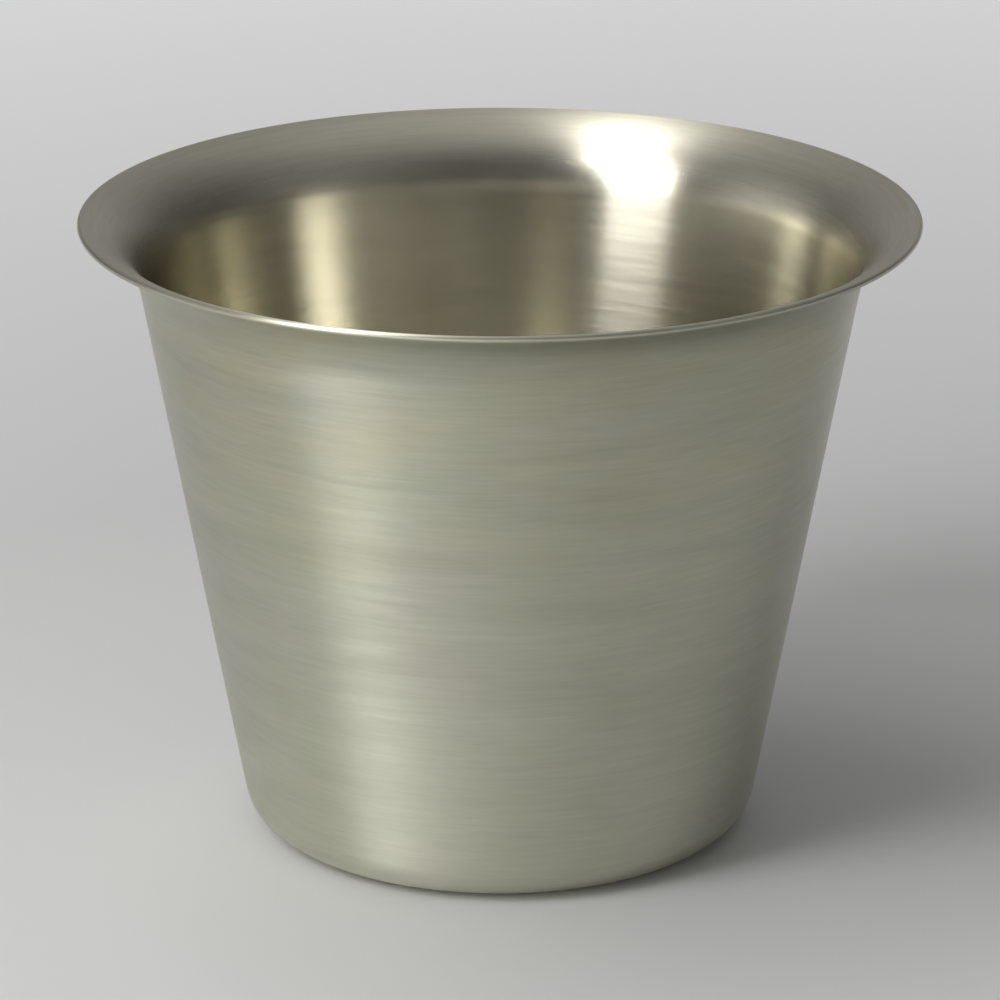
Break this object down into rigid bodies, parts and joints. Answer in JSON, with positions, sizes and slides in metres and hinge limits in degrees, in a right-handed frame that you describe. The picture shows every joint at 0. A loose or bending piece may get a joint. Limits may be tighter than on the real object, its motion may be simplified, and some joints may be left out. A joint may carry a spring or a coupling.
{
  "type": "steel beaker",
  "caption": "Small flared beaker drawn from brushed stainless sheet: tapering wall, rounded bottom corner, flat base and turned-out lip.",
  "frame": {"origin": "centre of the underside of the flat base, which stands on z = 0", "axes": "+Z along the beaker's axis, from the base to the open mouth; X and Y are alike, because the beaker is round"},
  "size_m": [0.08, 0.08, 0.0607],
  "materials": {
    "brushed_steel": "fine brushing round the axis, satin sheen, with a smoother lip edge"
  },
  "bodies": {
    "root": {"beaker_shell": "brushed_steel"}
  },
  "joints": []
}
